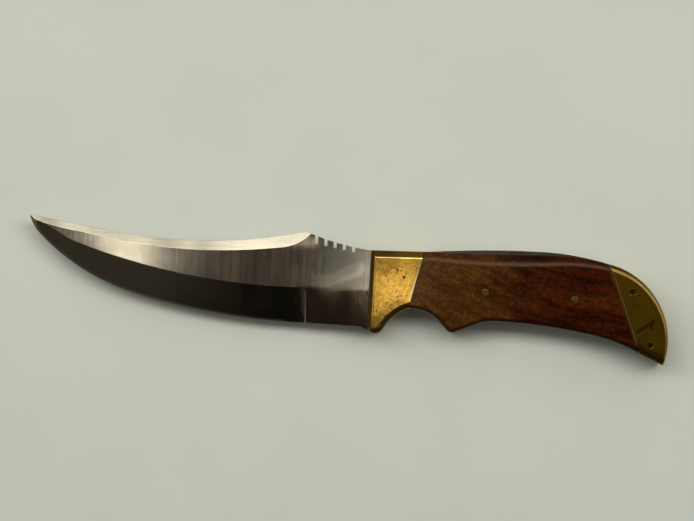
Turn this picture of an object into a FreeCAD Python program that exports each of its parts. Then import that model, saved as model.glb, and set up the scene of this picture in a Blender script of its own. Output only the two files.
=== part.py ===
"""Fixed-blade hunting knife with an upswept, hollow-ground blade and a full tang.

One steel plate is both blade and tang. On each side of the tang lie a brass bolster, a wooden
scale and a brass butt cap, held by six brass pins that run right through.

Knife frame, used while modelling, in millimetres: +X from the bolster's front face to the butt,
+Y to the spine, +Z to the left side, with Z 0 in the middle of the steel. Every finished piece is
then shifted, so that the origin lies under the middle of the knife, which rests on its right side.
"""

import FreeCAD, Part
import math
import os

import Sketcher
from FreeCAD import Vector

# Corners of the side outline, in the knife frame.
POINTS = {
    "tip": (-155.0, 26.2),
    "knee": (-118.4, 20.7),
    "peak": (-29.5, 25.0),
    "top_front": (0.0, 18.0),
    "seam_top": (24.1, 18.55),
    "tang_crest": (76.0, 21.3),
    "scale_crest": (80.0, 20.1),
    "pommel_top": (106.9, 17.3),
    "butt": (133.6, -26.9),
    "pommel_low": (122.4, -22.1),
    "belly_rear": (100.7, -15.1),
    "belly_front": (57.0, -11.3),
    "palm": (47.5, -13.5),
    "spur": (37.2, -17.8),
    "groove_rear": (32.7, -13.2),
    "seam_low": (18.3, -7.4),
    "guard_rear": (7.1, -17.1),
    "guard_front": (0.0, -18.2),
    "heel": (-4.6, -16.5),
    "plunge_low": (-27.4, -16.15),
    "belly": (-107.9, -6.3),
    "upsweep": (-149.9, 17.8),
    "grind_tip": (-158.5, 27.2),
    "grind_knee": (-136.3, 15.9),
    "grind_heel": (-25.0, -0.2),
    "swedge_tip": (-157.5, 25.6),
    "swedge_knee": (-130.0, 19.5),
    "swedge_mid": (-42.0, 17.1),
    "swedge_end": (-26.6, 25.2),
    "scale_pin_front": (52.0, 1.7),
    "scale_pin_rear": (92.5, 0.6),
    "bolster_pin_upper": (10.5, 8.5),
    "bolster_pin_lower": (8.0, -6.5),
    "pommel_pin_upper": (118.2, 5.6),
    "pommel_pin_lower": (127.2, -18.0),
    "notch": (-24.9, 19.6),
}

# Radii of the outline's arcs, and every other driving dimension.
SIZES = {
    "spine_radius": 229.0,
    "ramp_radius": 109.0,
    "tang_front_radius": 483.0,
    "tang_rear_radius": 112.0,
    "scale_top_radius": 87.0,
    "butt_radius": 34.6,
    "pommel_belly_radius": 86.0,
    "belly_radius": 247.0,
    "palm_radius": 21.7,
    "groove_radius": 18.1,
    "guard_groove_radius": 20.8,
    "guard_tip_radius": 4.4,
    "heel_radius": 8.0,
    "edge_radius": 280.0,
    "edge_belly_radius": 98.4,
    "edge_tip_radius": 19.5,
    "grind_tip_radius": 150.0,
    "grind_radius": 300.0,
    "swedge_tip_radius": 122.0,
    "swedge_radius": 245.0,
    "swedge_end_radius": 22.0,
    "steel": 4.0,
    "handle": 19.0,
    "peak_round": 2.0,
    "taper_start": -96.0,
    "taper_depth": 1.45,
    "wheel_radius": 130.0,
    "grind_start_x": -156.5,
    "bevel_lead": 0.2,
    "plunge": -28.5,
    "plunge_corner": 2.8,
    "plunge_lean": 0.35,
    "least_grind": 1.2,
    "shoulder_half": 0.3,
    "edge_half": 0.1,
    "edge_angle": 16.0,
    "swedge_angle": 15.0,
    "notch_width": 1.4,
    "notch_depth": 6.0,
    "notch_run": 16.9,
    "notch_fall": 2.7,
    "notch_count": 5,
    "pin": 3.2,
    "bevel": 2.8,
    "front_bevel": 1.8,
    "low_bevel": 2.6,
    "crest_bevel": 3.8,
    "crest_bevel_x": 62.0,
    "seam_bevel": 2.3,
    "butt_bevel": 0.4,
    "ridge_softness": 0.45,
    "pin_rim": 0.3,
    "groove_round": 2.8,
    "belly_round": 2.2,
    "spur_round": 3.4,
    "brass_ridge": 1.2,
    "low_ridge": 3.0,
    "brass_break": 0.5,
    "wood_break": 0.3,
}

# Working allowances, which leave no mark on the finished pieces.
REACH = 10.0  # how far a cutter reaches past the steel, mm
TOUCH = 0.02  # how near a point must lie to count as being on a line, an arc or a face, mm
GRIND_STATIONS = 44  # places along the blade that carry the ground surfaces
GRIND_SHARES = [-0.15, 0.07, 0.28, 0.5, 0.72, 0.93, 1.15]  # 0 at the grind line, 1 at the edge
SWEDGE_HEIGHTS = [-1.0, 1.0, 3.0, 5.0, 6.5]  # above the swedge line, mm
EDGE_STEPS = 8  # places along each arc of the cutting edge
EDGE_DEPTHS = [-1.2, -0.4, 0.4, 1.2, 2.0]  # inwards from the cutting edge, mm
BEVEL_STATIONS = 20  # places along the top of the handle that carry its bevel
BEVEL_SHARES = [-1.2, -0.8, -0.45, -0.1, 0.25, 0.6, 1.0, 1.5, 2.0]  # 0 at the ridge, 1 at the rim

doc = FreeCAD.newDocument("hunting_knife")
sheet = doc.addObject("Spreadsheet::Sheet", "Sizes")


def fill_sheet():
    """Writes every driving dimension to the sheet, one row each, with its name as the cell's alias."""
    cells = dict(SIZES)
    for name, (x, y) in POINTS.items():
        cells[name + "_x"] = x
        cells[name + "_y"] = y
    for row, (name, value) in enumerate(cells.items(), start=1):
        sheet.set(f"A{row}", name)
        sheet.set(f"B{row}", str(value))
        sheet.setAlias(f"B{row}", name)
    doc.recompute()


def size(name):
    return float(sheet.get(name))


def point(name):
    return Vector(size(name + "_x"), size(name + "_y"), 0)


# ---------------------------------------------------------------- outlines


def arc_centre(start, end, radius):
    """Centre of the minor arc from start to end: to the left of the way if radius is above 0."""
    half = (end - start) * 0.5
    rise = math.sqrt(radius * radius - half.Length**2)
    left = Vector(-half.y, half.x, 0).normalize()
    return start + half + left * math.copysign(rise, radius)


def signed_radius(turn, radius):
    return size(radius) if turn == "left" else -size(radius)


def bind(sketch, constraint, formula):
    """Adds a constraint whose value is a formula of the sheet's cells."""
    index = sketch.addConstraint(constraint)
    sketch.setExpression(f"Constraints[{index}]", formula)


def hold(sketch, geometry, end, where, x_formula, y_formula):
    """Fixes one point of the sketch's geometry at formulas of the sheet's cells."""
    bind(sketch, Sketcher.Constraint("DistanceX", -1, 1, geometry, end, where.x), x_formula)
    bind(sketch, Sketcher.Constraint("DistanceY", -1, 1, geometry, end, where.y), y_formula)


def draw_outline(sketch, corners):
    """Draws a closed outline of lines and arcs, every corner and radius bound to the sheet.

    Each item of corners is (point name,) or (point name, "left" or "right", radius name): the
    stretch that leaves that point is straight, or an arc that turns that way.
    """
    ends = []
    for index, (name, *curve) in enumerate(corners):
        start = point(name)
        end = point(corners[(index + 1) % len(corners)][0])
        if not curve:
            geometry = sketch.addGeometry(Part.LineSegment(start, end))
            ends.append((geometry, 1, 2))
            continue
        turn, radius = curve
        centre = arc_centre(start, end, signed_radius(turn, radius))
        circle = Part.Circle(centre, Vector(0, 0, 1), size(radius))
        first, last = (start, end) if turn == "left" else (end, start)
        angles = [math.atan2(p.y - centre.y, p.x - centre.x) for p in (first, last)]
        if angles[1] < angles[0]:
            angles[1] += 2 * math.pi
        geometry = sketch.addGeometry(Part.ArcOfCircle(circle, *angles))
        ends.append((geometry, 1, 2) if turn == "left" else (geometry, 2, 1))
    for index, (name, *curve) in enumerate(corners):
        geometry, start, _ = ends[index]
        previous, _, end = ends[index - 1]
        sketch.addConstraint(Sketcher.Constraint("Coincident", previous, end, geometry, start))
        hold(sketch, geometry, start, point(name), f"Sizes.{name}_x", f"Sizes.{name}_y")
        if curve:
            radius = curve[1]
            bind(sketch, Sketcher.Constraint("Radius", geometry, size(radius)), f"Sizes.{radius}")


def draw_pin_hole(sketch, centre):
    """Draws a pin's circle on a named point, its diameter and place bound to the sheet."""
    where = point(centre)
    circle = sketch.addGeometry(Part.Circle(where, Vector(0, 0, 1), size("pin") / 2))
    bind(sketch, Sketcher.Constraint("Diameter", circle, size("pin")), "Sizes.pin")
    hold(sketch, circle, 3, where, f"Sizes.{centre}_x", f"Sizes.{centre}_y")


# ---------------------------------------------------------------- PartDesign helpers


def plane_of(body, role):
    return next(f for f in body.Origin.OriginFeatures if f.Role == role)


def new_body(label):
    body = doc.addObject("PartDesign::Body", label)
    body.Label = label
    return body


def new_sketch(body, name, role="XY_Plane", height=None):
    """A sketch on an origin plane of its body, lifted by a formula if height is given."""
    sketch = body.newObject("Sketcher::SketchObject", f"{body.Name}_{name}")
    sketch.AttachmentSupport = [(plane_of(body, role), "")]
    sketch.MapMode = "FlatFace"
    if height:
        sketch.setExpression("AttachmentOffset.Base.z", height)
    return sketch


def pocket(body, name, sketch):
    """Cuts the sketch right through the body, both ways."""
    before = body.Shape.Volume
    cut = body.newObject("PartDesign::Pocket", f"{body.Name}_{name}")
    cut.Profile = sketch
    cut.SideType = "Symmetric"
    cut.Type = "ThroughAll"
    doc.recompute()
    if body.Shape.Volume >= before:
        raise RuntimeError(f"{body.Label}: {name} cut nothing")
    return cut


def add_pin_holes(body, pins):
    """Drills a body for the named pins, which fit their holes exactly."""
    holes = new_sketch(body, "holes")
    for pin in pins:
        draw_pin_hole(holes, pin)
    pocket(body, "pin_holes", holes)


def edges_where(shape, test):
    """Names of the edges whose middle and two ends all pass the test."""
    names = []
    for number, edge in enumerate(shape.Edges, start=1):
        middle = edge.valueAt((edge.FirstParameter + edge.LastParameter) / 2)
        if all(test(p) for p in [middle, *(v.Point for v in edge.Vertexes)]):
            names.append(f"Edge{number}")
    return names


def dress(body, kind, name, formula, test):
    """Adds a Fillet or a Chamfer, sized by a formula, to the edges of the body that pass the test."""
    base = body.Tip
    names = edges_where(base.Shape, test)
    if not names:
        raise RuntimeError(f"{body.Label}: no edge for {name}")
    feature = body.newObject(f"PartDesign::{kind}", f"{body.Name}_{name}")
    feature.Base = (base, names)
    feature.setExpression("Radius" if kind == "Fillet" else "Size", formula)
    doc.recompute()
    return feature


def at_corner(name):
    """A test for points of the edge that stands on a named corner of the outline."""
    corner = point(name)
    return lambda p: math.hypot(p.x - corner.x, p.y - corner.y) < TOUCH


# ---------------------------------------------------------------- blade and tang

BLADE_OUTLINE = [
    ("tip",),
    ("knee", "left", "spine_radius"),
    ("peak", "left", "ramp_radius"),
    ("top_front",),
    ("seam_top", "right", "tang_front_radius"),
    ("tang_crest", "right", "tang_rear_radius"),
    ("pommel_top", "right", "butt_radius"),
    ("butt",),
    ("pommel_low", "left", "pommel_belly_radius"),
    ("belly_rear", "left", "belly_radius"),
    ("belly_front", "left", "palm_radius"),
    ("palm",),
    ("spur",),
    ("groove_rear", "left", "groove_radius"),
    ("seam_low", "left", "guard_groove_radius"),
    ("guard_rear", "right", "guard_tip_radius"),
    ("guard_front", "left", "heel_radius"),
    ("heel",),
    ("plunge_low", "right", "edge_radius"),
    ("belly", "right", "edge_belly_radius"),
    ("upsweep", "right", "edge_tip_radius"),
]
SCALE_PINS = ["scale_pin_front", "scale_pin_rear"]
BOLSTER_PINS = ["bolster_pin_upper", "bolster_pin_lower"]
POMMEL_PINS = ["pommel_pin_upper", "pommel_pin_lower"]


def make_blank():
    """The steel plate before grinding: outline, pin holes, thumb notches and the thinner tip."""
    body = new_body("steel_blank")
    outline = new_sketch(body, "outline")
    draw_outline(outline, BLADE_OUTLINE)
    plate = body.newObject("PartDesign::Pad", "steel_blank_plate")
    plate.Profile = outline
    plate.SideType = "Symmetric"
    plate.setExpression("Length", "Sizes.steel")
    doc.recompute()
    dress(body, "Fillet", "peak_round", "Sizes.peak_round", at_corner("peak"))
    dress(body, "Fillet", "spur_round", "Sizes.spur_round", at_corner("spur"))
    add_pin_holes(body, BOLSTER_PINS + SCALE_PINS + POMMEL_PINS)
    add_notches(body)
    add_taper(body)
    return body


def draw_notch(sketch):
    """Draws one upright notch, open above the ramp, and a line along the ramp for its pattern."""
    low, wide, deep = point("notch"), size("notch_width"), size("notch_depth")
    across, up = Vector(wide / 2, 0, 0), Vector(0, deep, 0)
    corners = [low - across, low + across, low + across + up, low - across + up]
    sides = []
    for a, b in zip(corners, corners[1:] + corners[:1]):
        sides.append(sketch.addGeometry(Part.LineSegment(a, b)))
    for index, side in enumerate(sides):
        following = sides[(index + 1) % 4]
        sketch.addConstraint(Sketcher.Constraint("Coincident", side, 2, following, 1))
        sketch.addConstraint(Sketcher.Constraint("Vertical" if index % 2 else "Horizontal", side))
    bind(sketch, Sketcher.Constraint("DistanceX", sides[0], 1, sides[0], 2, wide), "Sizes.notch_width")
    bind(sketch, Sketcher.Constraint("DistanceY", sides[1], 1, sides[1], 2, deep), "Sizes.notch_depth")
    hold(sketch, sides[0], 1, corners[0], "Sizes.notch_x - Sizes.notch_width / 2", "Sizes.notch_y")

    run, fall = size("notch_run"), size("notch_fall")
    ramp = sketch.addGeometry(Part.LineSegment(low, low + Vector(run, -fall, 0)), True)
    hold(sketch, ramp, 1, low, "Sizes.notch_x", "Sizes.notch_y")
    end_x, end_y = "Sizes.notch_x + Sizes.notch_run", "Sizes.notch_y - Sizes.notch_fall"
    hold(sketch, ramp, 2, low + Vector(run, -fall, 0), end_x, end_y)


def add_notches(body):
    """Five thumb notches down the ramp behind the peak."""
    sketch = new_sketch(body, "notch")
    draw_notch(sketch)
    first = pocket(body, "first_notch", sketch)
    row = body.newObject("PartDesign::LinearPattern", "steel_blank_notches")
    row.Originals = [first]
    row.Direction = (sketch, ["Axis0"])
    row.setExpression("Occurrences", "Sizes.notch_count")
    row.setExpression("Length", "sqrt(Sizes.notch_run ^ 2 + Sizes.notch_fall ^ 2)")
    body.Tip = row
    doc.recompute()


def taper_radius():
    """Radius of the long arc, seen from above the spine, that thins the blade towards its tip."""
    reach = size("taper_start") - size("tip_x")
    return reach**2 / (2 * size("taper_depth")) + size("taper_depth") / 2


def half_thickness(x):
    """Half the steel's thickness on its flats, at a place along the blade."""
    beyond = max(0.0, size("taper_start") - x)
    radius = taper_radius()
    return size("steel") / 2 - radius + math.sqrt(radius**2 - beyond**2)


def add_taper(body):
    """Thins both flats towards the tip by a long arc that starts tangent to the flat."""
    start_x, end_x = size("taper_start"), size("tip_x") - REACH
    ways = [start_x, (start_x + end_x) / 2, end_x]
    for side, name in ((1, "taper_left"), (-1, "taper_right")):
        sketch = new_sketch(body, name, role="XZ_Plane")
        start, middle, end = (Vector(x, side * half_thickness(x), 0) for x in ways)
        corners = [end, Vector(end_x, side * REACH, 0), Vector(start_x, side * REACH, 0), start]
        sketch.addGeometry(Part.Arc(start, middle, end))
        for a, b in zip(corners, corners[1:]):
            sketch.addGeometry(Part.LineSegment(a, b))
        pocket(body, name, sketch)


# ---------------------------------------------------------------- grinds

GRIND_LINE = [
    ("grind_tip", "right", "grind_tip_radius"),
    ("grind_knee", "left", "grind_radius"),
    ("grind_heel",),
]
EDGE = [
    ("tip", "left", "edge_tip_radius"),
    ("upsweep", "left", "edge_belly_radius"),
    ("belly", "left", "edge_radius"),
    ("plunge_low",),
]
SWEDGE_LINE = [
    ("swedge_tip", "left", "swedge_tip_radius"),
    ("swedge_knee", "left", "swedge_radius"),
    ("swedge_mid", "left", "swedge_end_radius"),
    ("swedge_end",),
]


def height_on(line, x):
    """Height above the knife's axis of a named line of arcs and lines, at a place along it."""
    starts = [i for i in range(len(line) - 1) if point(line[i][0]).x <= x]
    index = starts[-1] if starts else 0
    name, *curve = line[index]
    start, end = point(name), point(line[index + 1][0])
    if not curve:
        return start.y + (end.y - start.y) * (x - start.x) / (end.x - start.x)
    signed = signed_radius(*curve)
    centre = arc_centre(start, end, signed)
    rise = math.sqrt(signed**2 - (x - centre.x) ** 2)
    return centre.y - math.copysign(rise, signed)


def stations(start, end, count):
    """Places along the blade, closest together at both ends, where the grinds change quickly."""
    middle, half = (start + end) / 2, (end - start) / 2
    return [middle - half * math.cos(math.pi * i / count) for i in range(count + 1)]


def cutter_above(label, rows, lean=0.0):
    """A solid that removes what lies above a smooth surface through a grid of points.

    Its walls stand upright, or lean this much towards the butt for each millimetre up.
    """
    surface = Part.BSplineSurface()
    surface.interpolate(rows)
    cutter = doc.addObject("Part::Feature", label)
    cutter.Shape = surface.toShape().extrude(Vector(lean * REACH, 0, REACH))
    return cutter


def hollow_cutter():
    """The hollow grind: wheel-ground from the grind line down to a thin shoulder at the edge.

    It ends at the plunge, a leaning wall into which the grind line rounds down.
    """
    end, corner = size("plunge"), size("plunge_corner")
    rows = []
    for x in stations(size("grind_start_x"), end, GRIND_STATIONS):
        into_corner = min(corner, max(0.0, x - (end - corner)))
        top = height_on(GRIND_LINE, x) - corner + math.sqrt(corner**2 - into_corner**2)
        width = max(size("least_grind"), top - height_on(EDGE, max(x, size("tip_x"))))
        flat, thin = half_thickness(x), size("shoulder_half")
        hollow = width**2 / (8 * size("wheel_radius"))
        rows.append([
            Vector(x, top - width * t, flat + (thin - flat) * t - hollow * 4 * t * (1 - t))
            for t in GRIND_SHARES
        ])
    return cutter_above("hollow_cutter", rows, size("plunge_lean"))


def swedge_cutter():
    """The false edge: a flat bevel that thins the spine from the swedge line upward."""
    fall = math.tan(math.radians(size("swedge_angle")))
    rows = []
    for x in stations(size("swedge_tip_x"), size("swedge_end_x"), GRIND_STATIONS):
        low = height_on(SWEDGE_LINE, x)
        flat = half_thickness(x)
        rows.append([Vector(x, low + d, flat - d * fall) for d in SWEDGE_HEIGHTS])
    return cutter_above("swedge_cutter", rows)


def edge_cutter():
    """The narrow sharpened bevel along the cutting edge, from past the tip to the plunge."""
    fall = math.tan(math.radians(size("edge_angle")))
    rows = []
    for (start, turn, radius), (end, *_) in zip(EDGE, EDGE[1:]):
        a, b = point(start), point(end)
        centre = arc_centre(a, b, signed_radius(turn, radius))
        sweep = math.degrees((b - centre).getAngle(a - centre))
        first = -1 if start == "tip" else 1
        for step in range(first, EDGE_STEPS + 1):
            turned = FreeCAD.Rotation(Vector(0, 0, 1), sweep * step / EDGE_STEPS)
            spoke = turned.multVec(a - centre).normalize()
            on_edge = centre + spoke * size(radius)
            if on_edge.x < size("plunge"):
                rows.append([
                    on_edge - spoke * d + Vector(0, 0, size("edge_half") + d * fall)
                    for d in EDGE_DEPTHS
                ])
    return cutter_above("edge_cutter", rows)


def mirrored(cutter):
    """The same cutter for the right side."""
    mirror = doc.addObject("Part::Mirroring", cutter.Label + "_mirrored")
    mirror.Source = cutter
    mirror.Normal = Vector(0, 0, 1)
    return mirror


def cut_away(base, cutter, label):
    """Cuts a solid with a cutter, and stops if that removes nothing."""
    result = doc.addObject("Part::Cut", label)
    result.Base = base
    result.Tool = cutter
    doc.recompute()
    if result.Shape.Volume >= base.Shape.Volume:
        raise RuntimeError(f"{label}: {cutter.Label} cut nothing")
    return result


def cut_both_sides(base, cutter, label):
    """Cuts a solid with a cutter and with its mirror image on the right side."""
    half = cut_away(base, cutter, label + "_left_side")
    return cut_away(half, mirrored(cutter), label)


def make_blade():
    """Blade and tang, one piece of steel."""
    ground = cut_both_sides(make_blank(), hollow_cutter(), "hollow_ground")
    swedged = cut_both_sides(ground, swedge_cutter(), "swedged")
    return cut_both_sides(swedged, edge_cutter(), "blade")


# ---------------------------------------------------------------- bevel along the handle's top

SCALE_TOP = [("seam_top",), ("scale_crest", "right", "scale_top_radius"), ("pommel_top",)]


def bevel_width(x):
    """Width of the scale's top bevel, widest at the crest and narrower towards both its ends."""
    away = (x - size("crest_bevel_x")) / (size("seam_top_x") - size("crest_bevel_x"))
    return size("crest_bevel") - (size("crest_bevel") - size("seam_bevel")) * away**2


def bevel_row(rim, inward, width):
    """Points across the bevel: level with the side, softly over the ridge, then down at 45 degrees."""
    soft = size("ridge_softness")
    row = []
    for share in BEVEL_SHARES:
        drop = share
        if abs(share) < soft:
            drop = (share + soft) ** 2 / (4 * soft)
        elif share < 0:
            drop = (share + soft) * size("bevel_lead")
        place = rim + inward * (width * (1 - share))
        row.append(place + Vector(0, 0, size("handle") / 2 - width * drop))
    return row


def scale_bevel_cutter(label):
    """The bevel along the top of a scale, from before its bolster seam to past its pommel seam."""
    rows = []
    for x in stations(size("seam_top_x") - 1, size("pommel_top_x") + 1, BEVEL_STATIONS):
        rim = Vector(x, height_on(SCALE_TOP, x), 0)
        rows.append(bevel_row(rim, Vector(0, -1, 0), bevel_width(x)))
    return cutter_above(label, rows)


def pommel_bevel_cutter(label):
    """The bevel round the end of a pommel plate, which narrows towards the point of the butt."""
    start, end = point("pommel_top"), point("butt")
    centre = arc_centre(start, end, signed_radius("right", "butt_radius"))
    sweep = math.degrees((end - centre).getAngle(start - centre))
    widest, least = bevel_width(start.x), size("butt_bevel")
    rows = []
    for step in range(-1, BEVEL_STATIONS + 2):
        share = step / BEVEL_STATIONS
        turned = FreeCAD.Rotation(Vector(0, 0, 1), -sweep * share)
        spoke = turned.multVec(start - centre).normalize()
        rim = centre + spoke * size("butt_radius")
        rows.append(bevel_row(rim, -spoke, widest + (least - widest) * share))
    return cutter_above(label, rows)


# ---------------------------------------------------------------- handle pieces

BOLSTER_OUTLINE = [
    ("top_front",),
    ("seam_top",),
    ("seam_low", "left", "guard_groove_radius"),
    ("guard_rear", "right", "guard_tip_radius"),
    ("guard_front",),
]
SCALE_OUTLINE = [
    ("seam_top",),
    ("scale_crest", "right", "scale_top_radius"),
    ("pommel_top",),
    ("pommel_low", "left", "pommel_belly_radius"),
    ("belly_rear", "left", "belly_radius"),
    ("belly_front", "left", "palm_radius"),
    ("palm",),
    ("spur",),
    ("groove_rear", "left", "groove_radius"),
    ("seam_low",),
]
POMMEL_OUTLINE = [
    ("pommel_top", "right", "butt_radius"),
    ("butt",),
    ("pommel_low",),
]


def make_slab(label, side, outline, pins):
    """A flat slab on one side of the tang, with its pin holes. side is 1 for left, -1 for right."""
    body = new_body(label)
    sketch = new_sketch(body, "outline", height=f"{side} * Sizes.steel / 2")
    draw_outline(sketch, outline)
    slab = body.newObject("PartDesign::Pad", label + "_slab")
    slab.Profile = sketch
    slab.Reversed = side < 0
    slab.setExpression("Length", "(Sizes.handle - Sizes.steel) / 2")
    doc.recompute()
    add_pin_holes(body, pins)
    return body


def outer_edge(side, *tests):
    """A test for points in the slab's outer face that also pass one of the side-view tests."""
    outer = side * size("handle") / 2
    return lambda p: abs(p.z - outer) < TOUCH and any(test(p) for test in tests)


def on_line(start, end, inset=0.0):
    """A test for points on the line through two named points, or this far to its right."""
    a, b = point(start), point(end)
    along = (b - a).normalize()
    return lambda p: abs(along.y * (p.x - a.x) - along.x * (p.y - a.y) - inset) < TOUCH


def on_arc(start, turn, radius, end, inset=0.0):
    """A test for points on the circle of a named arc, or this far inside it."""
    centre = arc_centre(point(start), point(end), signed_radius(turn, radius))
    reach = size(radius) - inset
    return lambda p: abs(math.hypot(p.x - centre.x, p.y - centre.y) - reach) < TOUCH


def on_hole(centre):
    """A test for points on the rim of a named pin hole, seen from the side."""
    middle = point(centre)
    return lambda p: abs(math.hypot(p.x - middle.x, p.y - middle.y) - size("pin") / 2) < TOUCH


def make_bolster(label, side):
    """Brass bolster with its half guard: bevelled along the top, the front and the finger groove."""
    body = make_slab(label, side, BOLSTER_OUTLINE, BOLSTER_PINS)
    front = outer_edge(side, on_line("guard_front", "top_front"))
    dress(body, "Chamfer", "front_bevel", "Sizes.front_bevel", front)
    top = outer_edge(side, on_line("top_front", "seam_top"))
    dress(body, "Chamfer", "top_bevel", "Sizes.bevel", top)
    top_ridge = on_line("top_front", "seam_top", size("bevel"))
    front_ridge = on_line("guard_front", "top_front", size("front_bevel"))
    ridges = outer_edge(side, top_ridge, front_ridge)
    dress(body, "Fillet", "ridge_break", "Sizes.brass_ridge", ridges)
    groove = outer_edge(side, on_arc("seam_low", "left", "guard_groove_radius", "guard_rear"))
    dress(body, "Fillet", "groove_round", "Sizes.groove_round", groove)
    rear = outer_edge(side, on_line("seam_top", "seam_low"))
    dress(body, "Fillet", "rear_break", "Sizes.brass_break", rear)
    return body


def make_scale(label, side):
    """Wooden scale: a softened bevel along the top, a smaller round along the palm side."""
    body = make_slab(label + "_slab", side, SCALE_OUTLINE, SCALE_PINS)
    dress(body, "Fillet", "spur_round", "Sizes.spur_round", at_corner("spur"))
    below = outer_edge(side, lambda p: p.y < size("seam_low_y") + TOUCH)
    dress(body, "Fillet", "belly_round", "Sizes.belly_round", below)
    ends = outer_edge(side, on_line("seam_top", "seam_low"), on_line("pommel_top", "pommel_low"))
    dress(body, "Fillet", "end_break", "Sizes.wood_break", ends)
    rims = [on_hole(pin) for pin in SCALE_PINS]
    dress(body, "Chamfer", "pin_rims", "Sizes.pin_rim", outer_edge(side, *rims))
    cutter = scale_bevel_cutter(label + "_bevel")
    return cut_away(body, cutter if side > 0 else mirrored(cutter), label)


def make_pommel(label, side):
    """Brass plate that caps one side of the butt, bevelled round the end and the underside."""
    body = make_slab(label + "_slab", side, POMMEL_OUTLINE, POMMEL_PINS)
    low = outer_edge(side, on_line("butt", "pommel_low"))
    dress(body, "Chamfer", "low_bevel", "Sizes.low_bevel", low)
    low_ridge = on_line("butt", "pommel_low", size("low_bevel"))
    dress(body, "Fillet", "low_ridge", "Sizes.low_ridge", outer_edge(side, low_ridge))
    joint = outer_edge(side, on_line("pommel_top", "pommel_low"))
    dress(body, "Fillet", "joint_break", "Sizes.brass_break", joint)
    cutter = pommel_bevel_cutter(label + "_bevel")
    return cut_away(body, cutter if side > 0 else mirrored(cutter), label)


def make_pin(name):
    """A round pin through both sides of the handle, flush with them."""
    pin = doc.addObject("Part::Cylinder", name)
    pin.Label = name
    pin.setExpression("Radius", "Sizes.pin / 2")
    pin.setExpression("Height", "Sizes.handle")
    return pin


# ---------------------------------------------------------------- whole knife


def make_parts():
    """The blade and the handle's six side pieces, still in the knife frame."""
    parts = [make_blade()]
    for side, hand in ((1, "left"), (-1, "right")):
        parts.append(make_bolster("bolster_" + hand, side))
        parts.append(make_scale("scale_" + hand, side))
        parts.append(make_pommel("pommel_" + hand, side))
    return parts


def place(parts, pins):
    """Moves the finished pieces to the part's frame: origin under the middle, right side down."""
    box = parts[0].Shape.optimalBoundingBox()
    shift = Vector(-box.Center.x, -box.Center.y, size("handle") / 2)
    for part in parts:
        part.Placement = FreeCAD.Placement(shift, FreeCAD.Rotation())
    for pin in pins:
        foot = point(pin.Label) - Vector(0, 0, size("handle") / 2)
        pin.Placement = FreeCAD.Placement(shift + foot, FreeCAD.Rotation())
    doc.recompute()


def check_and_write(parts):
    """Stops if anything failed or is hollow, then writes one STEP file per piece."""
    for thing in doc.Objects:
        if "Invalid" in thing.State or "Error" in thing.State:
            raise RuntimeError(f"{thing.Label}: {thing.State}")
    os.makedirs("parts", exist_ok=True)
    for part in parts:
        shape = part.Shape
        if shape.isNull() or not shape.isValid() or len(shape.Solids) != 1:
            raise RuntimeError(f"{part.Label}: bad shape")
        box = shape.optimalBoundingBox()
        print(f"{part.Label}: {shape.Volume:.0f} mm3, {box.XMin:.1f}..{box.XMax:.1f}, "
              f"{box.YMin:.1f}..{box.YMax:.1f}, {box.ZMin:.1f}..{box.ZMax:.1f}")
        shape.exportStep(f"parts/{part.Label}.step")


fill_sheet()
pieces = make_parts()
pins = [make_pin(name) for name in BOLSTER_PINS + SCALE_PINS + POMMEL_PINS]
place(pieces, pins)
check_and_write(pieces + pins)
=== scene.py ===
"""Looks, light and camera for the hunting knife: steel, brass and wood made from shader nodes.

The knife lies on its right side, so the camera above it sees the left side. Lengths are metres
in the scene and millimetres in the materials.
"""

import math

import bpy
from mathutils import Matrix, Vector


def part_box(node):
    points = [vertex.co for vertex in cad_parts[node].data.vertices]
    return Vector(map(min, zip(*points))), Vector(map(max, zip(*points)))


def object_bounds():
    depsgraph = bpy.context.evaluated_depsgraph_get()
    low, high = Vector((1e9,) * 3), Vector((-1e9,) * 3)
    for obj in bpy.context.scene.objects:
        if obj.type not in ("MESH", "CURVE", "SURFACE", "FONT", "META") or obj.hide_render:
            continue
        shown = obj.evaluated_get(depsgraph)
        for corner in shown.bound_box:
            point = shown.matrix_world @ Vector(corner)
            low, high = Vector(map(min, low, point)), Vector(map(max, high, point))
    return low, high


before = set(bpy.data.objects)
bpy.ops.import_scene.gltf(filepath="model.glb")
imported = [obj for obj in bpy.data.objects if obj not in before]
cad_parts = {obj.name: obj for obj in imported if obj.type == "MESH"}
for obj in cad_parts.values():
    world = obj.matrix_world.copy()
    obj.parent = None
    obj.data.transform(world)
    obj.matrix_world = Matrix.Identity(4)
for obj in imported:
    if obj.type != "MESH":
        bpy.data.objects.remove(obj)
cad_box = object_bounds()

MM = 0.001


# ---------------------------------------------------------------- shader helpers

# The sockets of a Mix node for each kind of value: share, first, second and result.
MIX_SOCKETS = {"FLOAT": (0, 2, 3, 0), "VECTOR": (0, 4, 5, 1), "RGBA": (0, 6, 7, 2)}


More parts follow.
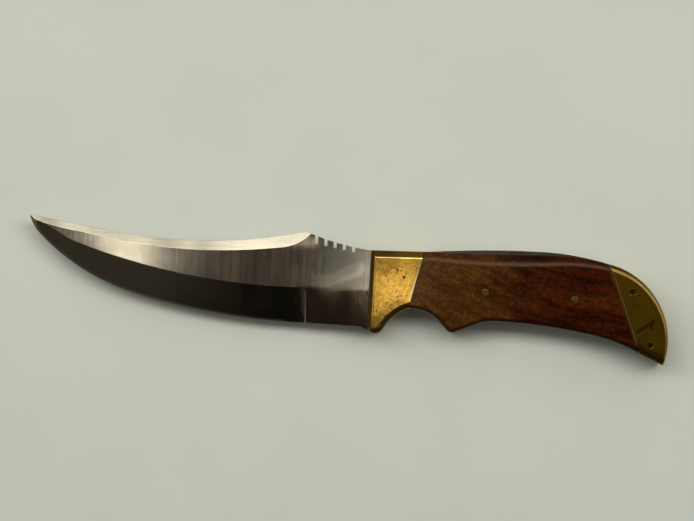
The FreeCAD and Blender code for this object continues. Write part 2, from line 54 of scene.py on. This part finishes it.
class Nodes:
    """Short ways to add nodes to a tree."""

    def __init__(self, tree):
        self.tree = tree

    def feed(self, socket, value):
        """Links an output to a socket, or sets the socket to a plain value."""
        if isinstance(value, bpy.types.NodeSocket):
            self.tree.links.new(value, socket)
        elif socket.type == "RGBA" and len(value) == 3:
            socket.default_value = (*value, 1)
        else:
            socket.default_value = value

    def parts_of(self, vector):
        """The x, y and z of a vector."""
        node = self.tree.nodes.new("ShaderNodeSeparateXYZ")
        self.tree.links.new(vector, node.inputs[0])
        return node.outputs

    def math(self, operation, a, b=0.0):
        node = self.tree.nodes.new("ShaderNodeMath")
        node.operation = operation
        self.feed(node.inputs[0], a)
        self.feed(node.inputs[1], b)
        return node.outputs[0]

    def times(self, a, b):
        return self.math("MULTIPLY", a, b)

    def plus(self, a, b):
        return self.math("ADD", a, b)

    def either(self, a, b):
        return self.math("MAXIMUM", a, b)

    def mix_of(self, kind, share, first, second):
        """first where share is 0 and second where it is 1, for two values of one kind."""
        node = self.tree.nodes.new("ShaderNodeMix")
        node.data_type = kind
        *inputs, result = MIX_SOCKETS[kind]
        for index, value in zip(inputs, (share, first, second)):
            self.feed(node.inputs[index], value)
        return node.outputs[result]

    def blend(self, share, first, second):
        return self.mix_of("FLOAT", share, first, second)

    def blend_normals(self, share, first, second):
        return self.mix_of("VECTOR", share, first, second)

    def mix(self, share, first, second):
        return self.mix_of("RGBA", share, first, second)

    def layers(self, colour, *tints):
        """A colour with tints laid over it in turn, each given as its share and its colour."""
        for share, tint in tints:
            colour = self.mix(share, colour, tint)
        return colour

    def ramp(self, value, stops):
        """A grey picked by value, with a smooth change between stops of a position and a grey."""
        node = self.tree.nodes.new("ShaderNodeValToRGB")
        node.color_ramp.interpolation = "EASE"
        while len(node.color_ramp.elements) < len(stops):
            node.color_ramp.elements.new(0.5)
        for element, (position, grey) in zip(node.color_ramp.elements, stops):
            element.position = position
            element.color = (grey, grey, grey, 1)
        self.tree.links.new(value, node.inputs[0])
        return node.outputs[0]


class Finish(Nodes):
    """One material under construction: its main shader, and ways to add texture nodes.

    Every texture works in the knife's own coordinates, in millimetres.
    """

    def __init__(self, name):
        self.material = bpy.data.materials.new(name)
        self.material.use_nodes = True
        super().__init__(self.material.node_tree)
        self.shader = self.tree.nodes["Principled BSDF"]
        place = self.tree.nodes.new("ShaderNodeTexCoord")
        scaled = self.tree.nodes.new("ShaderNodeVectorMath")
        scaled.operation = "SCALE"
        scaled.inputs["Scale"].default_value = 1 / MM
        self.tree.links.new(place.outputs["Object"], scaled.inputs[0])
        self.place = scaled.outputs[0]
        self.x, self.y, self.z = self.parts_of(self.place)
        geometry = self.tree.nodes.new("ShaderNodeNewGeometry")
        self.normal = geometry.outputs["Normal"]
        self.flat_normal = geometry.outputs["True Normal"]
        _, self.normal_y, self.normal_z = self.parts_of(self.normal)

    def set(self, **inputs):
        """Feeds the main shader's inputs, with underscores for the spaces in their names."""
        for name, value in inputs.items():
            self.feed(self.shader.inputs[name.replace("_", " ")], value)

    def levelness(self):
        """1 on level faces and 0 on upright ones."""
        return self.math("ABSOLUTE", self.normal_z)

    def between(self, value, low, high, start=0.0, end=1.0):
        """start where value is at low, end where it is at high, with a smooth change between."""
        node = self.tree.nodes.new("ShaderNodeMapRange")
        node.interpolation_type = "SMOOTHSTEP"
        self.feed(node.inputs["Value"], value)
        for name, amount in (("From Min", low), ("From Max", high), ("To Min", start), ("To Max", end)):
            node.inputs[name].default_value = amount
        return node.outputs["Result"]

    def band(self, value, centre, half_width, fade):
        """1 within half_width of the centre, fading to 0 over the next stretch."""
        away = self.math("ABSOLUTE", self.math("SUBTRACT", value, centre))
        return self.between(away, half_width, half_width + fade, 1.0, 0.0)

    def vector(self, x, y, z):
        node = self.tree.nodes.new("ShaderNodeCombineXYZ")
        for socket, value in zip(node.inputs, (x, y, z)):
            self.feed(socket, value)
        return node.outputs[0]

    def stretched(self, place, x, y, z):
        """Texture coordinates whose features are x, y and z millimetres long."""
        node = self.tree.nodes.new("ShaderNodeVectorMath")
        node.operation = "DIVIDE"
        self.feed(node.inputs[0], place)
        node.inputs[1].default_value = (x, y, z)
        return node.outputs[0]

    def noise(self, place, detail=3.0, roughness=0.5, distortion=0.0):
        """Soft cloudy noise, about 0.3 to 0.7, with features one unit across."""
        node = self.tree.nodes.new("ShaderNodeTexNoise")
        self.feed(node.inputs["Vector"], place)
        node.inputs["Scale"].default_value = 1.0
        node.inputs["Detail"].default_value = detail
        node.inputs["Roughness"].default_value = roughness
        node.inputs["Distortion"].default_value = distortion
        return node.outputs["Fac"]

    def spots(self, place, size):
        """1 at scattered points and 0 beyond size, in units of the distance between them."""
        node = self.tree.nodes.new("ShaderNodeTexVoronoi")
        self.feed(node.inputs["Vector"], place)
        node.inputs["Scale"].default_value = 1.0
        return self.between(node.outputs["Distance"], size * 0.5, size, 1.0, 0.0)

    def stroke(self, start, end, half_width):
        """1 along a line seen from above, between two places in millimetres, and 0 beside it."""
        run = Vector(end) - Vector(start)
        from_x = self.math("SUBTRACT", self.x, start[0])
        from_y = self.math("SUBTRACT", self.y, start[1])
        dot = self.plus(self.times(from_x, run.x), self.times(from_y, run.y))
        share = self.math("DIVIDE", dot, run.length_squared)
        share = self.math("MINIMUM", self.math("MAXIMUM", share, 0.0), 1.0)
        side_x = self.math("SUBTRACT", from_x, self.times(share, run.x))
        side_y = self.math("SUBTRACT", from_y, self.times(share, run.y))
        gap = self.math("SQRT", self.plus(self.times(side_x, side_x), self.times(side_y, side_y)))
        return self.between(gap, half_width * 0.5, half_width, 1.0, 0.0)

    def around(self, pin, radius):
        """1 over a pin and near it, seen from above, and 0 beyond the radius in millimetres."""
        x, y = within(pin, 0.5, 0.5)
        short_run = 0.01
        return self.stroke((x, y), (x + short_run, y), radius)

    def rounded(self, radius):
        """The normal as if every edge had a small radius, in millimetres."""
        node = self.tree.nodes.new("ShaderNodeBevel")
        node.samples = 6
        node.inputs["Radius"].default_value = radius * MM
        return node.outputs[0]

    def edges(self, rounded):
        """1 along the edges, where the rounded normal leaves the surface's own."""
        node = self.tree.nodes.new("ShaderNodeVectorMath")
        node.operation = "DOT_PRODUCT"
        self.feed(node.inputs[0], rounded)
        self.feed(node.inputs[1], self.normal)
        return self.between(node.outputs["Value"], 0.97, 0.999, 1.0, 0.0)

    def crevices(self, reach):
        """1 in gaps and inner corners narrower than reach, in millimetres."""
        node = self.tree.nodes.new("ShaderNodeAmbientOcclusion")
        node.samples = 8
        node.inputs["Distance"].default_value = reach * MM
        return self.between(node.outputs["AO"], 0.45, 0.95, 1.0, 0.0)

    def bump(self, height, depth, normal=None):
        """Raises the surface by height times depth, in millimetres."""
        node = self.tree.nodes.new("ShaderNodeBump")
        node.inputs["Strength"].default_value = 1.0
        node.inputs["Distance"].default_value = depth * MM
        self.feed(node.inputs["Height"], height)
        if normal:
            self.feed(node.inputs["Normal"], normal)
        return node.outputs[0]


def within(node, x_share, y_share):
    """A place on a CAD node, seen from above, as shares of its box, in millimetres."""
    low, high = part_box(node)
    return (low.x + (high.x - low.x) * x_share) / MM, (low.y + (high.y - low.y) * y_share) / MM


# ---------------------------------------------------------------- steel

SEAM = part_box("bolster_left")[0].x / MM  # where the blade leaves the bolster
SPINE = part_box("blade")[1].y / MM  # as far as the blade reaches on the side of its spine
PLUNGE = SEAM - 28.5  # where the hollow grind ends
TAPER = SEAM - 96.0  # where the blade starts to thin towards its tip


def steel_grain(f):
    """Textures of the steel: lines and streaks across the blade, lines along it, and smears."""
    return {
        "lines": f.noise(f.stretched(f.place, 0.35, 24.0, 24.0), detail=3.0, roughness=0.6),
        "streaks": f.noise(f.stretched(f.place, 0.9, 30.0, 24.0), detail=2.0, roughness=0.6),
        "long_lines": f.noise(f.stretched(f.place, 22.0, 0.3, 3.0), detail=3.0, roughness=0.6),
        "smears": f.noise(f.stretched(f.place, 7.0, 18.0, 9.0), detail=2.0, distortion=0.2),
    }


def steel_areas(f):
    """Masks of the steel's areas, each 1 on its area and 0 off it."""
    side = f.between(f.levelness(), 0.5, 0.8)
    flat_y = f.parts_of(f.flat_normal)[1]
    ground = f.between(flat_y, -0.04, -0.02, 1.0, 0.0)
    below_axis = f.between(f.y, -0.8, 1.2, 1.0, 0.0)
    lower_ricasso = f.times(f.between(f.x, PLUNGE - 5.5, PLUNGE - 3.5), below_axis)

    # The flat behind the taper and the grind beside the plunge are shaded as flat as they are.
    level = f.times(f.band(flat_y, 0.0, 0.004, 0.004), f.between(f.x, TAPER - 2.0, TAPER + 2.0))
    level = f.times(level, f.between(f.y, SPINE - 14.0, SPINE - 12.0, 1.0, 0.0))
    before_plunge = f.between(f.x, PLUNGE - 0.2, PLUNGE, 1.0, 0.0)
    beside_plunge = f.times(f.between(f.x, PLUNGE - 6.0, PLUNGE - 5.0), before_plunge)
    return {
        "ground": ground,
        "polished": f.times(side, f.either(ground, lower_ricasso)),
        "false_edge": f.times(side, f.between(f.normal_y, 0.08, 0.15)),
        "shaded_flat": f.either(level, f.times(beside_plunge, below_axis)),
    }


def steel_colour(f, grain, areas):
    """Grey flats, handled in places, with a painted highlight on the ricasso, a darker grind and a
    brighter false edge.
    """
    clouds = f.noise(f.stretched(f.place, 14.0, 9.0, 9.0), detail=2.0)
    scuffs = f.between(f.noise(f.stretched(f.place, 6.0, 1.3, 3.0), distortion=1.6), 0.60, 0.70)
    handled = f.band(f.x, SEAM - 50.0, 14.0, 22.0)
    # A brighter diagonal stroke on the ricasso, where the streak lamp reflects: painted highlight.
    painted_streak_highlight = f.stroke((SEAM - 23.0, 2.4), (SEAM - 6.0, 9.4), 4.5)
    fingered = f.stroke((SEAM - 22.0, 10.5), (SEAM - 10.0, 12.0), 6.5)
    bright, brown = (0.66, 0.63, 0.56), (0.57, 0.51, 0.435)
    flats = f.layers(
        f.mix(f.between(clouds, 0.35, 0.65), brown, bright),
        (f.times(handled, 0.7), (0.62, 0.49, 0.42)),
        (f.between(grain["lines"], 0.3, 0.7, 0.14, 0.0), (0.32, 0.29, 0.25)),
        (f.between(grain["streaks"], 0.35, 0.65, 0.22, 0.0), (0.36, 0.33, 0.28)),
        (f.times(scuffs, 0.20), (0.38, 0.34, 0.28)),
        (f.times(painted_streak_highlight, 0.35), (0.95, 0.90, 0.78)),
        (f.times(fingered, 0.40), (0.33, 0.32, 0.31)),
    )
    polish = f.mix(areas["ground"], (0.62, 0.50, 0.38), (0.42, 0.40, 0.345))
    shiny = f.between(f.noise(f.stretched(f.place, 20.0, 60.0, 60.0), detail=1.0), 0.4, 0.6)
    towards_tip = f.mix(shiny, (0.36, 0.345, 0.295), (0.52, 0.50, 0.43))
    near_peak = f.mix(shiny, (0.62, 0.59, 0.51), (0.70, 0.67, 0.58))
    brushed = f.mix(f.between(f.x, SEAM - 78.0, SEAM - 52.0), towards_tip, near_peak)
    return f.layers(flats, (areas["polished"], polish), (areas["false_edge"], brushed))


def steel_roughness(f, grain, areas):
    """Satin flats, a mirror-like grind and a blurred false edge."""
    streaky = f.between(grain["streaks"], 0.3, 0.7, 0.14, 0.165)
    satin = f.plus(streaky, f.between(grain["smears"], 0.3, 0.7, 0.0, 0.015))
    mirror = f.between(grain["smears"], 0.35, 0.7, 0.06, 0.09)
    blurred = f.between(grain["long_lines"], 0.3, 0.7, 0.24, 0.32)
    return f.blend(areas["false_edge"], f.blend(areas["polished"], satin, mirror), blurred)


def steel_normal(f, grain, areas):
    """Fine lines across the flats and along the polish, on slightly rounded edges.

    Behind the end of the false edge the flat leans a little towards the spine.
    """
    soft = f.blend_normals(areas["shaded_flat"], f.rounded(0.18), f.flat_normal)
    by_peak = f.band(f.x, PLUNGE - 2.5, 4.0, 8.0)
    lean = f.times(by_peak, f.between(f.y, SPINE - 11.0, SPINE - 1.0))
    leaning = f.bump(f.times(lean, -1.0), 0.45, soft)
    leaning = f.blend_normals(areas["false_edge"], leaning, soft)
    across = f.bump(f.plus(grain["lines"], grain["streaks"]), 0.0040, leaning)
    return f.bump(f.times(grain["long_lines"], areas["polished"]), 0.0010, across)


def blade_steel():
    """Stainless steel: satin flats with fine lines across, polished hollow grind and false edge."""
    f = Finish("satin_and_polished_steel")
    grain, areas = steel_grain(f), steel_areas(f)
    f.set(Metallic=1.0, Anisotropic=0.6, Tangent=f.vector(1.0, 0.0, 0.0))
    f.set(Base_Color=steel_colour(f, grain, areas), Roughness=steel_roughness(f, grain, areas))
    f.set(Normal=steel_normal(f, grain, areas))
    return f.material


# ---------------------------------------------------------------- brass

# Colour of brass edges, as wear, and of crests facing the light, as a painted highlight.
RUBBED_AND_LIT_BRASS = (0.95, 0.66, 0.26)
DEEP_SHADE = (0.02, 0.012, 0.002)


def brass_edges(f, softness, pins):
    """The rounded normal, and 1 on edges, as wear, and on crests facing the light, as painted highlight,
    but not round the named pins.
    """
    soft = f.rounded(softness)
    soft_y = f.parts_of(soft)[1]
    # Crests leaning towards the light take the edge colour as well: a painted highlight.
    crest = f.times(f.between(soft_y, 0.02, 0.10), f.between(soft_y, 0.35, 0.70, 1.0, 0.0))
    wear_and_highlight = f.either(f.edges(soft), crest)
    for pin in pins:
        around = f.around(pin, 5.5)
        soft = f.blend_normals(around, soft, f.rounded(0.12))
        wear_and_highlight = f.times(wear_and_highlight, f.between(around, 0.0, 1.0, 1.0, 0.0))
    return soft, wear_and_highlight


def brass(name, clean, tarnish, tarnished, rough, rubbed_and_lit=0.5, rubbed_and_lit_colour=RUBBED_AND_LIT_BRASS,
          softness=0.35, blunt=0.0, pins=(), marks=()):
    """Polished brass, gone dull in patches, with pits and fine scratches, bright edges and painted
    shade.

    clean and tarnish are the two colours and tarnished is how much of the surface is dull. The
    edges have a radius of softness. They and the crests that face the light show the edge colour
    to its given share, as wear and as a painted highlight, and are rougher by blunt; the edges round
    the named pins stay sharp and dull. Slopes and faces away from the light get painted shade.
    Each mark is a stroke: its two ends, its half width, its strength and its colour. All lengths
    are millimetres.
    """
    f = Finish(name)
    clouds = f.noise(f.stretched(f.place, 16.0, 13.0, 9.0), detail=2.0, distortion=0.3)
    mottle = f.noise(f.stretched(f.place, 1.5, 1.8, 1.5), detail=4.0, roughness=0.75)
    waves = f.noise(f.stretched(f.place, 9.0, 7.0, 9.0), detail=1.0)
    scratches = f.noise(f.stretched(f.place, 6.0, 0.16, 6.0), detail=2.0, roughness=0.7)
    cross = f.noise(f.stretched(f.place, 0.22, 5.0, 5.0), detail=2.0, roughness=0.7)
    pits = f.spots(f.stretched(f.place, 1.9, 2.2, 1.9), 0.24)
    soft, wear_and_highlight = brass_edges(f, softness, pins)

    dull = f.between(clouds, 0.66 - tarnished, 0.80 - tarnished * 0.6)
    level = f.levelness()
    # Sloping faces darken towards a deep shade: painted shade.
    slope_shade = f.times(f.between(level, 0.67, 0.90, 0.88, 0.0), f.between(level, 0.1, 0.5, 0.5, 1.0))
    # Faces leaning towards the edge, away from the light, darken further: painted shade.
    facing_down = f.between(f.normal_y, -0.40, -0.10, 0.70, 0.0)
    away_shade = f.times(facing_down, f.between(level, 0.1, 0.5, 0.3, 1.0))
    shaded = tuple(0.30 * own + 0.70 * deep for own, deep in zip(tarnish, DEEP_SHADE))
    colour = f.layers(
        f.mix(dull, clean, tarnish),
        (f.between(mottle, 0.32, 0.62, 0.60, 0.0), tarnish),
        (slope_shade, shaded),
        (away_shade, (0.045, 0.027, 0.006)),
        (f.times(wear_and_highlight, rubbed_and_lit), rubbed_and_lit_colour),
        (f.times(pits, f.between(mottle, 0.5, 0.6, 0.7, 0.1)), (0.12, 0.06, 0.012)),
        # Gaps and inner corners darkened through occlusion: painted shade, with grime.
        (f.times(f.crevices(0.7), 0.8), (0.05, 0.032, 0.010)),
        *((f.times(f.stroke(start, end, half_width), strength), tint)
          for start, end, half_width, strength, tint in marks),
    )

    spread = f.plus(f.between(dull, 0.0, 1.0, rough, rough + 0.03), f.times(scratches, 0.04))
    relief = f.plus(f.times(scratches, 0.4), f.times(cross, 0.4))
    dented = f.math("SUBTRACT", f.plus(relief, f.times(mottle, 0.8)), f.times(pits, 2.0))
    normal = f.bump(dented, 0.005, f.bump(waves, 0.04, soft))
    f.set(Metallic=1.0, Base_Color=colour, Normal=normal)
    f.set(Roughness=f.plus(spread, f.times(wear_and_highlight, blunt)))
    return f.material


# ---------------------------------------------------------------- wood and table

SCALE_PINS = ("scale_pin_front", "scale_pin_rear")


def wood_grain(f):
    """Textures of the wood. Its grain slopes down towards the butt and then levels out."""
    wander = f.noise(f.stretched(f.place, 22.0, 14.0, 12.0), detail=2.0)
    slope = f.plus(f.times(f.x, 0.62), f.times(f.times(f.x, f.x), -0.0022))
    across = f.plus(f.plus(f.y, slope), f.times(wander, 7.0))
    along = f.math("SUBTRACT", f.x, f.times(f.y, 0.35))
    grain = f.vector(along, across, f.z)
    return {
        "across": across,
        "figure": f.noise(f.stretched(grain, 20.0, 3.2, 6.0), detail=4.0, roughness=0.6),
        "fibres": f.noise(f.stretched(grain, 2.6, 0.55, 1.2), detail=4.0, roughness=0.7),
        "pores": f.between(f.noise(f.stretched(grain, 2.0, 0.45, 0.9), detail=2.0), 0.54, 0.62),
        "curls": f.noise(f.stretched(f.place, 1.5, 1.9, 1.5), detail=3.0, roughness=0.6, distortion=0.8),
    }


def wood_colour(f, grain, rear, ridge):
    """Yellow-brown in front, red-brown behind, with dark pores and pin rings, painted shade on slopes
    and on faces away from the light, and a lighter ridge.
    """
    yellow, brown = (0.188, 0.069, 0.010), (0.088, 0.026, 0.003)
    red, deep = (0.090, 0.0145, 0.0005), (0.010, 0.0011, 0.0002)
    front_colour = f.mix(f.between(grain["figure"], 0.34, 0.66), brown, yellow)
    curled_figure = f.plus(grain["figure"], f.times(grain["curls"], 0.5))
    rear_colour = f.mix(f.between(curled_figure, 0.58, 0.90), deep, red)
    streak = f.times(f.band(grain["across"], 46.0, 2.5, 3.0), f.between(f.x, 78.0, 92.0))
    dark = f.mix(rear, (0.026, 0.0095, 0.0020), (0.019, 0.0030, 0.0004))

    level = f.levelness()
    # Sloping faces, and faces leaning towards the edge away from the light, are darkened: painted shade,
    # fainter on upright faces.
    lit = f.between(level, 0.05, 0.40, 0.45, 1.0)
    slope_shade = f.times(f.between(level, 0.35, 0.93, 0.85, 0.0), lit)
    away_shade = f.times(f.between(f.normal_y, -0.45, -0.08, 0.80, 0.0), lit)
    return f.layers(
        f.mix(rear, front_colour, rear_colour),
        (f.times(streak, 0.28), (0.20, 0.045, 0.001)),
        (f.between(grain["curls"], 0.36, 0.62, 0.50, 0.0), dark),
        (f.between(grain["fibres"], 0.36, 0.64, 0.65, 0.0), dark),
        (f.times(grain["pores"], 0.66), dark),
        *((f.times(f.around(pin, 2.7), 0.75), (0.012, 0.005, 0.001)) for pin in SCALE_PINS),
        (f.either(slope_shade, away_shade), (0.010, 0.003, 0.001)),
        (f.times(ridge, 0.50), (0.130, 0.060, 0.020)),
        # Gaps and inner corners darkened through occlusion: painted shade, with grime.
        (f.times(f.crevices(0.9), 0.85), (0.006, 0.003, 0.001)),
    )


def handle_wood():
    """Oiled hardwood, lighter along the ridge of its upper bevel: wear and a painted highlight."""
    f = Finish("figured_hardwood")
    grain = wood_grain(f)
    patches = f.noise(f.stretched(f.place, 13.0, 8.0, 9.0), detail=3.0, distortion=0.7)
    rear = f.between(f.plus(f.x, f.times(patches, 40.0)), 74.0, 108.0)
    soft = f.blend_normals(f.between(f.y, 8.0, 10.0), f.rounded(0.3), f.rounded(1.4))
    soft_y = f.parts_of(soft)[1]
    # The ridge leaning towards the light is tinted lighter and made rougher: wear, and a painted
    # highlight.
    ridge = f.times(f.between(soft_y, 0.03, 0.12), f.between(soft_y, 0.30, 0.55, 1.0, 0.0))

    dry = f.blend(rear, f.between(grain["fibres"], 0.3, 0.7, 0.18, 0.14), 0.12)
    relief = f.math("SUBTRACT", f.times(grain["fibres"], 0.5), grain["pores"])
    normal = f.bump(relief, 0.008, f.bump(grain["figure"], 0.10, soft))
    f.set(Base_Color=wood_colour(f, grain, rear, ridge), Roughness=f.blend(ridge, dry, 0.42))
    f.set(Normal=normal, Specular_IOR_Level=0.20)
    return f.material


def table_top():
    """Pale matt table with a barely visible mottle."""
    f = Finish("pale_table")
    mottle = f.noise(f.stretched(f.place, 60.0, 60.0, 60.0), detail=3.0)
    grit = f.noise(f.stretched(f.place, 0.9, 0.9, 0.9), detail=2.0)
    colour = f.mix(f.between(mottle, 0.3, 0.7), (0.740, 0.798, 0.800), (0.765, 0.823, 0.825))
    f.set(Base_Color=colour, Roughness=0.7, Specular_IOR_Level=0.3, Normal=f.bump(grit, 0.01))
    return f.material


# ---------------------------------------------------------------- the knife's finishes

GOLD, OLD_GOLD = (0.90, 0.54, 0.11), (0.52, 0.27, 0.045)
# The dark mark colour serves for dirt and for painted shade; the bright one paints a glint.
GRIME_AND_SHADE, GLINT = (0.09, 0.050, 0.010), (1.0, 0.82, 0.42)


def mark(node, start, end, half_width, strength, colour=GRIME_AND_SHADE):
    """A stroke on a brass node, between two places given as shares of the node's box."""
    return within(node, *start), within(node, *end), half_width, strength, colour


def bolster_brass():
    """Polished and pitted, with a dark patch, painted shade at a corner and along its front, and a
    painted glint along the wood.
    """
    return brass(
        "bolster_brass_polished", clean=GOLD, tarnish=OLD_GOLD, tarnished=0.06, rough=0.17,
        marks=[
            # In turn: a darker patch towards the bottom middle, painted shade at the top front corner,
            # painted shade along the front bevel, a painted glint along the wood, and a pit.
            mark("bolster_left", (0.16, 0.10), (0.58, 0.33), 5.0, 0.50),
            mark("bolster_left", (0.06, 0.90), (0.30, 0.86), 8.0, 0.42),
            mark("bolster_left", (0.0, 0.0), (0.0, 1.0), 2.2, 0.60),
            mark("bolster_left", (0.972, 0.92), (0.775, 0.42), 0.9, 0.95, GLINT),
            mark("bolster_left", (0.63, 0.687), (0.64, 0.69), 0.9, 0.90),
        ],
    )


def pommel_brass():
    """Dull olive brass with a broad rough ridge, its tint wear and a painted highlight, and a hooked
    scratch.
    """
    return brass(
        "pommel_brass_dull", clean=(0.42, 0.255, 0.022), tarnish=(0.28, 0.155, 0.010),
        tarnished=0.22, rough=0.16, rubbed_and_lit=0.95, rubbed_and_lit_colour=(0.34, 0.24, 0.085),
        softness=0.90, blunt=0.34, pins=["pommel_pin_upper", "pommel_pin_lower"],
        marks=[
            mark("pommel_left", (0.50, 0.32), (0.75, 0.44), 0.9, 0.80),
            mark("pommel_left", (0.75, 0.44), (0.72, 0.37), 0.9, 0.80),
        ],
    )


def dress_knife():
    """Gives every CAD node its finish."""
    finishes = {
        "blade": blade_steel(),
        "bolster": bolster_brass(),
        "bolster_pin": brass("bolster_pin_brass", GOLD, OLD_GOLD, 0.14, 0.18, rubbed_and_lit=0.0),
        "scale": handle_wood(),
        "scale_pin": brass("scale_pin_dull", (0.27, 0.140, 0.030), (0.16, 0.080, 0.018),
                           tarnished=0.30, rough=0.22, rubbed_and_lit=0.1),
        "pommel": pommel_brass(),
        "pommel_pin": brass("pommel_pin_dark", (0.15, 0.085, 0.010), (0.09, 0.048, 0.006),
                            tarnished=0.30, rough=0.16, rubbed_and_lit=0.0),
    }
    for name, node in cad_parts.items():
        kind = name.rsplit("_", 1)[0]
        node.material_slots[0].material = finishes[kind]


# ---------------------------------------------------------------- light and camera

HANDLE_TOP = cad_box[1].z
TANG_MIDDLE = HANDLE_TOP / 2
CAMERA_HEIGHT = 1.50
CAMERA_TURN = math.radians(3.0)
CAMERA_CENTRE = Vector((-0.8 * MM, 13.15 * MM, TANG_MIDDLE + CAMERA_HEIGHT))
FRAME_WIDTH = 313.7 * MM  # what the camera takes in at the height of the tang
FILM_WIDTH = 36.0  # millimetres, as Blender measures a film
NEAREST_SEEN = 0.05
TABLE_HALF = 6.0
DAYLIGHT = (1.0, 0.95, 0.80)
GLOW_HEIGHT = 0.25

# The room that the metal mirrors: stops of position and grey, then colours.
UP_THE_WALL = [(0.0, 0.12), (0.30, 0.40), (0.55, 1.0), (0.76, 1.0), (0.93, 0.0)]
AWAY_FROM_THE_EDGE = [(0.15, 0.12), (0.55, 1.0)]
ALONG_THE_CEILING = [(0.38, 1.0), (0.475, 0.0), (0.53, 0.45)]
RAMP_MIDDLE = 0.5  # a ramp runs from 0 to 1, and a direction straight up has x and y of 0
DIM_CEILING, LIT_CEILING = (0.004, 0.0035, 0.0025), (0.060, 0.052, 0.038)
WALL, BACKDROP = (0.56, 0.54, 0.46), (0.55, 0.56, 0.50)


def add_camera():
    """Looks straight down, turned so that the knife slopes a little towards its butt."""
    data = bpy.data.cameras.new("above")
    data.sensor_width = FILM_WIDTH
    data.lens = data.sensor_width * CAMERA_HEIGHT / FRAME_WIDTH
    data.clip_start = NEAREST_SEEN
    camera = bpy.data.objects.new("above", data)
    camera.location = CAMERA_CENTRE
    camera.rotation_euler = (0, 0, CAMERA_TURN)
    bpy.context.scene.collection.objects.link(camera)
    bpy.context.scene.camera = camera


def add_softbox(name, centre, size, brightness, turn=0.0, target=None):
    """A rectangular light as bright as a surface of that radiance, unseen by the camera itself.

    It faces the target, or straight down with its own turn about the vertical, in degrees.
    """
    data = bpy.data.lights.new(name, "AREA")
    data.shape = "RECTANGLE"
    data.size, data.size_y = size
    data.energy = brightness * math.pi * size[0] * size[1]
    data.color = DAYLIGHT
    light = bpy.data.objects.new(name, data)
    light.location = centre
    light.rotation_euler = (0, 0, math.radians(turn))
    if target:
        light.rotation_euler = (Vector(centre) - Vector(target)).to_track_quat("Z", "Y").to_euler()
    light.visible_camera = False
    bpy.context.scene.collection.objects.link(light)


def add_lights():
    """One wide soft light behind the spine, and small ones that the polished metal mirrors."""
    add_softbox("sky", (0.0, 0.39, 1.08), (2.4, 0.34), brightness=4.1, target=(0, 0, 0))
    add_softbox("glow_over_tip", (-0.124, 0.017, GLOW_HEIGHT), (0.026, 0.040), brightness=2.6, turn=25.0)
    add_softbox("glow_over_ricasso", (0.014, 0.014, GLOW_HEIGHT), (0.014, 0.024), brightness=0.95)
    add_softbox("streak_over_ricasso", (0.003, 0.006, GLOW_HEIGHT), (0.028, 0.005), brightness=0.7,
                turn=30.0)
    add_softbox("glow_over_bolster", (0.028, -0.004, GLOW_HEIGHT), (0.018, 0.022), brightness=2.6)


def add_room():
    """A dim room with a lighter band high on its walls, except on the side before the edge.

    The polished metal mirrors it. The camera itself sees an even pale background.
    """
    world = bpy.data.worlds.new("room")
    world.use_nodes = True
    nodes = Nodes(world.node_tree)
    place = nodes.tree.nodes.new("ShaderNodeTexCoord")
    x, y, z = nodes.parts_of(place.outputs["Generated"])
    behind = nodes.ramp(nodes.plus(y, RAMP_MIDDLE), AWAY_FROM_THE_EDGE)
    on_wall = nodes.times(nodes.ramp(z, UP_THE_WALL), behind)
    along = nodes.ramp(nodes.plus(x, RAMP_MIDDLE), ALONG_THE_CEILING)
    mirrored = nodes.mix(on_wall, nodes.mix(along, DIM_CEILING, LIT_CEILING), WALL)
    path = nodes.tree.nodes.new("ShaderNodeLightPath")
    seen = nodes.mix(path.outputs["Is Camera Ray"], mirrored, BACKDROP)
    nodes.tree.links.new(seen, nodes.tree.nodes["Background"].inputs["Color"])
    bpy.context.scene.world = world


def add_table(material):
    """A wide flat sheet under the knife."""
    low, high = -TABLE_HALF, TABLE_HALF
    corners = [(low, low, 0), (high, low, 0), (high, high, 0), (low, high, 0)]
    mesh = bpy.data.meshes.new("table")
    mesh.from_pydata(corners, [], [(0, 1, 2, 3)])
    mesh.materials.append(material)
    table = bpy.data.objects.new("table", mesh)
    bpy.context.scene.collection.objects.link(table)


dress_knife()
add_table(table_top())
add_lights()
add_room()
add_camera()
bpy.context.scene.view_settings.view_transform = "Standard"
